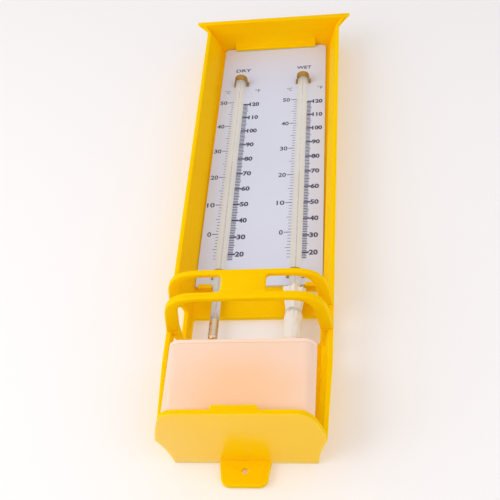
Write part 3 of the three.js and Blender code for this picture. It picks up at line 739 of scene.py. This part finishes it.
def marks(middle, height, first, last, start, tens, fives, ones, bold, fine):
    """The low and the high corners of one scale's marks, beside a thermometer's middle."""
    degree = np.arange(first, last + 1)
    reach = np.where(degree % 10 == 0, tens, np.where(degree % 5 == 0, fives, ones))
    half = np.where(degree % 10 == 0, bold, fine)
    ends = middle + np.stack([np.full(len(degree), start), reach])
    low = surface(ends.min(0), PLATE_FACE - PRINT_DEPTH, height(degree) - half)
    high = surface(ends.max(0), PLATE_FACE + PRINT_ROOT, height(degree) + half)
    return low, high


def tick_marks(material):
    """Every graduation as a thin raised box, from whole arrays of degrees."""
    corners = []
    for middle in (DRY_X, WET_X):
        corners.append(marks(middle, celsius_height, **CELSIUS))
        corners.append(marks(middle, fahrenheit_height, **FAHRENHEIT))
    low, high = (np.concatenate(ends) for ends in zip(*corners))
    points, faces = boxes(low, high)
    made = mesh_object("scale_graduations", points, faces, smooth=False)
    made.data.materials.append(material)
    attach(made, "case")


def word(text, left, right, z, height, bold):
    """A word as a flat mesh, stretched to the given sides and height; returns its points and faces."""
    curve = bpy.data.curves.new("word", "FONT")
    curve.body = text
    curve.offset = bold
    curve.resolution_u = 3
    curve.extrude = 0.01
    holder = bpy.data.objects.new("word", curve)
    bpy.context.scene.collection.objects.link(holder)
    bpy.context.view_layer.update()
    evaluated = holder.evaluated_get(bpy.context.evaluated_depsgraph_get())
    mesh = bpy.data.meshes.new_from_object(evaluated)
    bpy.data.objects.remove(holder)
    bpy.data.curves.remove(curve)
    flat = np.empty(len(mesh.vertices) * 3)
    mesh.vertices.foreach_get("co", flat)
    flat = flat.reshape(-1, 3)
    faces = [list(polygon.vertices) for polygon in mesh.polygons]
    bpy.data.meshes.remove(mesh)
    low, high = flat.min(0), flat.max(0)
    share = (flat - low) / (high - low)
    x = left + (right - left) * share[:, 0]
    y = PLATE_FACE + PRINT_ROOT - (PRINT_DEPTH + PRINT_ROOT) * share[:, 2]
    return np.stack([x, y, z + height * (share[:, 1] - 0.5)], -1), faces


def numerals(material):
    """The numbers beside both scales, their degree signs and the words for the two bulbs, as one mesh."""
    parts = []
    for middle in (DRY_X, WET_X):
        end = middle - CELSIUS_NUMBERS_END
        for degree in range(0, 51, 10):
            wide = CELSIUS_WIDTHS[len(str(degree))]
            z = celsius_height(degree)
            parts.append(word(str(degree), end - wide, end, z, height=3.4, bold=0.02))
        start = middle + FAHRENHEIT["tens"]
        for degree in range(20, 121, 10):
            wide = FAHRENHEIT_WIDTHS[len(str(degree))]
            z = fahrenheit_height(degree)
            parts.append(word(str(degree), start, start + wide, z, height=3.6, bold=0.04))
        parts.append(word("°C", middle - 10.3, middle - 6.9, 258.3, height=2.9, bold=0.0))
        parts.append(word("°F", middle + 9.4, middle + 12.6, 258.6, height=2.9, bold=0.0))
    parts.append(word("DRY", -25.4, -15.4, 279.8, height=3.0, bold=0.02))
    parts.append(word("WET", 15.1, 24.6, 279.9, height=3.0, bold=0.02))
    points, faces, first = [], [], 0
    for part_points, part_faces in parts:
        points.append(part_points)
        faces += [[index + first for index in face] for face in part_faces]
        first += len(part_points)
    made = mesh_object("scale_numerals", np.concatenate(points), faces, smooth=False)
    face_outward(made.data, weld=1e-7)
    made.data.materials.append(material)
    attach(made, "case")


def cloth_uv(grid, girth):
    """A cloth map in millimetres: the way round times the girth, and the length run along each column."""
    rows, columns = grid.shape[:2]
    step = np.linalg.norm(np.diff(grid, axis=0), axis=-1).mean(1)
    run = np.concatenate([[0], np.cumsum(step)])
    around = np.arange(columns) / columns * girth
    u, v = np.meshgrid(around, run)
    return np.stack([u, v], -1).reshape(-1, 2)


def muslin_frill(material):
    """The gathered open top of the wick's sleeve.

    With t from 0 at the tie to 1 at the edge and a round the stem, the radius is 3.62 + 1.55 t^0.7 plus folds
    of (0.12 + 0.72 t) cos(9a + 0.8 sin 3a + 0.5 t) that are weaker near the tie. The round is 0.86 times as
    deep as wide, its height wavers by t^2 (0.6 cos(5a + 1) + 0.4 sin 9a), and the plate keeps the back flat."""
    rows, columns = 30, 216
    t = np.linspace(0, 1, rows)[:, None]
    a = (np.arange(columns) * 2 * np.pi / columns)[None]
    fold = (0.12 + 0.72 * t) * np.cos(9 * a + 0.8 * np.sin(3 * a) + 0.5 * t)
    radius = 3.62 + 1.55 * t**0.7 + fold * np.minimum(1, 4 * t + 0.35)
    waver = (0.6 * np.cos(5 * a + 1) + 0.4 * np.sin(9 * a)) * t**2
    height = TIE_Z - 0.2 + (SLEEVE_HIGH[2] - TIE_Z) * t + waver
    x = WET_X + radius * np.cos(a)
    y = np.minimum(STEM_AXIS + radius * 0.86 * np.sin(a), PLATE_FACE + 1.0)
    grid = surface(x, y, height)
    uv = cloth_uv(grid, 2 * np.pi * 4.6)
    made = mesh_object("muslin_frill", grid.reshape(-1, 3), tube_faces(rows, columns), uv=uv)
    wall = made.modifiers.new("cloth", "SOLIDIFY")
    wall.thickness = 0.28 * MM
    wall.offset = 0
    made.data.materials.append(material)
    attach(made, "case")
    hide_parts("wick_sleeve")


def muslin_bag(material):
    """The closed part of the sleeve round the bulb.

    With t from 0 at the bottom to 1 at the tie, the radius is 4.55 times a round bottom of
    sqrt(1 - (1 - t / 0.2)^2) up to t = 0.2, and times a neck that narrows by 0.19 above t = 0.8. Pleats along
    cos(11a + 0.9 sin(2a + 1)) fade away from the tie and from the gathered bottom, and slow creases
    0.14 sin(3a + 9t + 1.2 sin 5t) and 0.08 sin(7a - 13t) are strongest halfway."""
    rows, columns = 60, 200
    t = np.linspace(0, 1, rows)[:, None]
    a = (np.arange(columns) * 2 * np.pi / columns)[None]
    bottom = np.sqrt(np.clip(1 - (1 - np.minimum(1, t / 0.2)) ** 2, 0, 1))
    neck = 1 - 0.19 * np.clip((t - 0.8) / 0.2, 0, 1) ** 1.6
    depth = 0.3 * np.clip((t - 0.62) / 0.38, 0, 1) + 0.22 * np.clip(1 - t / 0.3, 0, 1) * bottom
    pleats = np.cos(11 * a + 0.9 * np.sin(2 * a + 1)) * depth
    halfway = np.sin(np.pi * t)
    crease = 0.14 * np.sin(3 * a + 9 * t + 1.2 * np.sin(5 * t)) * halfway
    crease += 0.08 * np.sin(7 * a - 13 * t) * halfway
    radius = np.maximum(4.55 * bottom * neck + pleats + crease, 0.35)
    height = SLEEVE_LOW[2] + (TIE_Z + 0.2 - SLEEVE_LOW[2]) * t
    grid = surface(WET_X + radius * np.cos(a), STEM_AXIS + radius * np.sin(a), height)
    points, faces = closed_tube(grid)
    uv = np.concatenate([cloth_uv(grid, 2 * np.pi * 4.5), [[0, -2], [0, 22]]])
    made = mesh_object("muslin_bag", points, faces, uv=uv)
    made.data.materials.append(material)
    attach(made, "case")


def tie_thread(material):
    """Three turns of cotton thread round the sleeve's neck, as a helix with a knot.

    Along the helix, with b its angle, the radius is 3.98 + 0.08 sin 5b and the height wavers by 0.1 sin 2.3b.
    The knot is a small closed loop in front of it: (0.75 cos 2c, -0.35 sin 3c, 0.55 sin c)."""
    turns = 3.2
    t = np.linspace(0, 1, 220)
    b = turns * 2 * np.pi * t + 3.6
    radius = 3.98 + 0.08 * np.sin(5 * b)
    height = TIE_Z - 0.75 + 1.5 * t + 0.1 * np.sin(2.3 * b)
    path = surface(WET_X + radius * np.cos(b), STEM_AXIS + radius * np.sin(b), height)
    points, faces = closed_tube(along_upright(path, 0.33, 12))
    c = np.linspace(0, 2 * np.pi, 60)[:-1]
    knot = surface(WET_X - 0.9 + 0.75 * np.cos(2 * c), STEM_AXIS - 4.25 - 0.35 * np.sin(3 * c),
                   TIE_Z + 0.55 * np.sin(c))
    more_points, more_faces = closed_tube(along_upright(knot, 0.3, 10))
    faces += [[index + len(points) for index in face] for face in more_faces]
    points = np.concatenate([points, more_points])
    uv = np.stack([points[:, 0] * 2 + points[:, 1], points[:, 2] * 3], -1)
    made = mesh_object("tie_thread", points, faces, uv=uv)
    face_outward(made.data)
    made.data.materials.append(material)
    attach(made, "case")
    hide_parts("wick_tie")


def muslin_tail(material):
    """The wick's tail: a strip of muslin folded on itself, on a path that bends forward under the bag.

    With t from 0 at the top to 1 at the bottom, the section is a flattened round, 2.62 by 1.2, narrower at
    its top, with folds of 0.16 cos(4a + 5t) + 0.1 cos(7a - 9t) that turn on the way down, and it swings
    sideways by 0.25 sin 6t."""
    rows, columns = 90, 60
    t = np.linspace(0, 1, rows)[:, None]
    a = (np.arange(columns) * 2 * np.pi / columns)[None]
    top, bottom = TAIL_HIGH[2] + 0.6, TAIL_LOW[2]
    bend = np.clip(t / 0.17, 0, 1)
    forward = (TAIL_LOW[1] + 1.5 - STEM_AXIS) * eased(bend)
    narrow = 0.62 + 0.38 * np.clip(t / 0.12, 0, 1)
    wave = 0.16 * np.cos(4 * a + 5 * t) + 0.1 * np.cos(7 * a - 9 * t)
    x = WET_X + (2.62 * narrow + wave) * np.cos(a) + 0.25 * np.sin(6 * t) * bend
    y = STEM_AXIS + forward + (1.2 + wave) * np.sin(a)
    grid = surface(x, y, top + (bottom - top) * t)[::-1]
    points, faces = closed_tube(grid)
    uv = np.concatenate([cloth_uv(grid, 14.0), [[0, -2], [0, 60]]])
    made = mesh_object("muslin_tail", points, faces, uv=uv)
    made.data.materials.append(material)
    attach(made, "case")
    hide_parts("wick_tail")
    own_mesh(made)


def dress_everything():
    """Makes the finishes, then the pieces, and gives every shown surface its finish."""
    plastic = moulded_group()
    weave = weave_group()
    through = seen_through_group()
    yellow = moulded(
        "yellow_plastic", plastic, body=(0.992, 0.785, 0.006), shade=(0.987, 0.77, 0.003),
        gloss=0.45, grain=2600.0, relief=0.02, specular_ior_level=0.02, subsurface_weight=0.5,
        subsurface_radius=(0.0028, 0.0022, 0.0006), subsurface_scale=1.0, coat_roughness=0.25)
    polished_underside(yellow, 0.85)
    lets_light_in(yellow, 0.5, bounced=False)
    opal = moulded("opal_plate", plastic, body=(0.84, 0.855, 0.93), shade=(0.83, 0.84, 0.915),
                   gloss=0.38, grain=4000.0, relief=0.02)
    ink = moulded("scale_ink", plastic, body=(0.19, 0.19, 0.31), shade=(0.23, 0.22, 0.35),
                  gloss=0.45, grain=6000.0, relief=0.05)
    enamel = moulded("cream_enamel", plastic, body=(0.87, 0.87, 0.875), shade=(0.845, 0.845, 0.845),
                     gloss=0.3, grain=3000.0, relief=0.03)
    # The middle colours of the tank and the lid are painted see-through tints of the yellow moulding behind
    # them.
    tank_plastic = milky("milky_tank_plastic", plastic, through, rim=(0.975, 0.83, 0.735),
                         middle=(0.98, 0.77, 0.59), spread=(42, 42, 30), centre=(0, -41, 14))
    lid_plastic = milky("milky_lid_plastic", plastic, through, rim=(0.98, 0.86, 0.79),
                        middle=(0.98, 0.83, 0.72), spread=(42, 42, 30), centre=(0, -22, 41))
    muslin = cloth("muslin", weave, light=(0.995, 0.99, 0.98), dark=(0.95, 0.935, 0.91), threads=2100.0,
                   relief=0.4)
    thread = cloth("cotton_thread", weave, light=(0.97, 0.95, 0.92), dark=(0.85, 0.82, 0.78), threads=3000.0,
                   relief=0.4)
    brass = brushed("brass", (0.76, 0.60, 0.29), roughness=0.35)
    # The mercury thread's pale colour is a painted reflection.
    mercury = liquid_metal("mercury", (0.90, 0.81, 0.70), thread_painted_reflection=(0.79, 0.76, 0.75), roughness=0.22)
    glass = drawn_glass("stem_glass", (1.0, 1.0, 0.995), roughness=0.03)

    softened("case_moulding", "case_body", "case", width=0.55, material=yellow)
    softened("cage_moulding", "bulb_cage", "case", width=0.7, material=yellow)
    softened("tank_moulding", "reservoir_tank", "reservoir", width=0.4,
             material=tank_plastic)
    softened("lid_moulding", "reservoir_lid", "lid", width=0.4, material=lid_plastic)
    dress(frame["nodes"]["scale_plate"], opal)
    for prefix in ("dry", "wet"):
        dress(frame["nodes"][prefix + "_enamel"], enamel)
        dress(frame["nodes"][prefix + "_mercury"], mercury)
        dress(frame["nodes"][prefix + "_upper_clip"], brass)
        dress(frame["nodes"][prefix + "_lower_clip"], brass)
    thermometer_glass("dry_thermometer", "dry_glass", DRY_X, READ_DRY, glass)
    thermometer_glass("wet_thermometer", "wet_glass", WET_X, READ_WET, glass)
    neck_enamel("dry_neck_enamel", DRY_X, enamel)
    neck_enamel("wet_neck_enamel", WET_X, enamel)
    tick_marks(ink)
    numerals(ink)
    muslin_frill(muslin)
    muslin_bag(muslin)
    tie_thread(thread)
    muslin_tail(muslin)


camera()
world()
wall()
lamp("key", place=(-0.64, -0.54, -0.12), aim=(0, 0, 0.08), size=0.7, power=3.35)
lamp("fill", place=(0.52, -0.54, -0.22), aim=(0, 0, 0.06), size=0.7, power=1.15)
dress_everything()

bpy.context.scene.view_settings.view_transform = "Standard"
